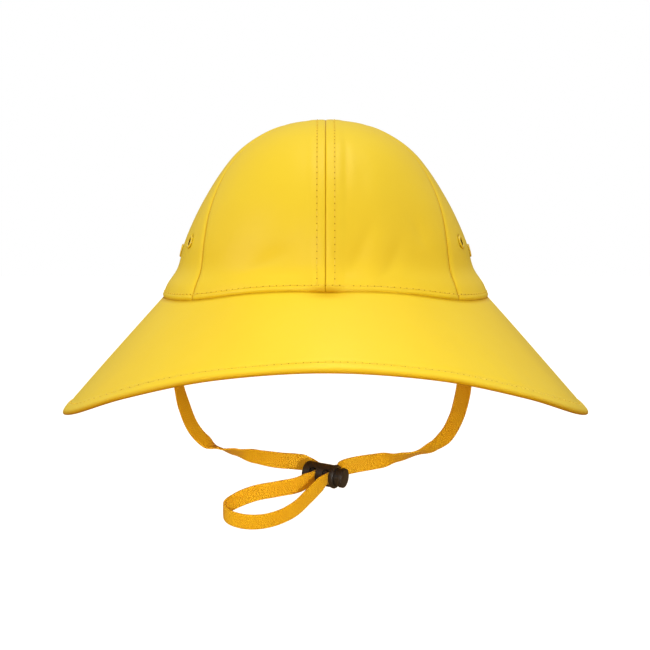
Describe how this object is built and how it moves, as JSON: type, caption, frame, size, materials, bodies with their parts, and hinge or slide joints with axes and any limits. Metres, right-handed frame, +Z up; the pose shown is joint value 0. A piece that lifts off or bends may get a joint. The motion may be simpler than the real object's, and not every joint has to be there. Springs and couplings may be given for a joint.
{
  "type": "sun hat with chin strap",
  "caption": "Domed panelled sun and rain hat with a sloping topstitched brim, side air eyelets and a flat chin strap looped through a spring barrel lock.",
  "frame": {"origin": "the middle of the head opening, level with the crown's seam at the sides, where the hat sits on a head", "axes": "+Z up, the wearer looks along -Y so the front of the brim points to -Y, and +X is the wearer's left"},
  "size_m": [0.2996, 0.3379, 0.2262],
  "materials": {
    "coated_cloth": "smooth coated cloth, satin sheen, warm yellow",
    "painted_eyelet": "yellow lacquer, semi-gloss",
    "strap_webbing": "flat woven webbing with fine cross ribs, matt",
    "lock_plastic": "matt black moulded plastic"
  },
  "bodies": {
    "hat": {"panel_front_left": "coated_cloth", "panel_front_right": "coated_cloth", "panel_side_left": "coated_cloth", "panel_side_right": "coated_cloth", "panel_back_left": "coated_cloth", "panel_back_right": "coated_cloth", "eyelet_front_left": "painted_eyelet", "eyelet_front_right": "painted_eyelet", "eyelet_rear_left": "painted_eyelet", "eyelet_rear_right": "painted_eyelet", "brim": "coated_cloth", "chin_strap": "strap_webbing", "lock_barrel": "lock_plastic"},
    "button": {"lock_button": "lock_plastic"}
  },
  "joints": [
    {"name": "button_press", "type": "slide", "parent": "hat", "child": "button", "axis": [-0.9044, 0.412, 0.1105], "range_m": [0, 0.002], "stiffness_N_per_m": 1200, "springref_m": -0.002}
  ]
}
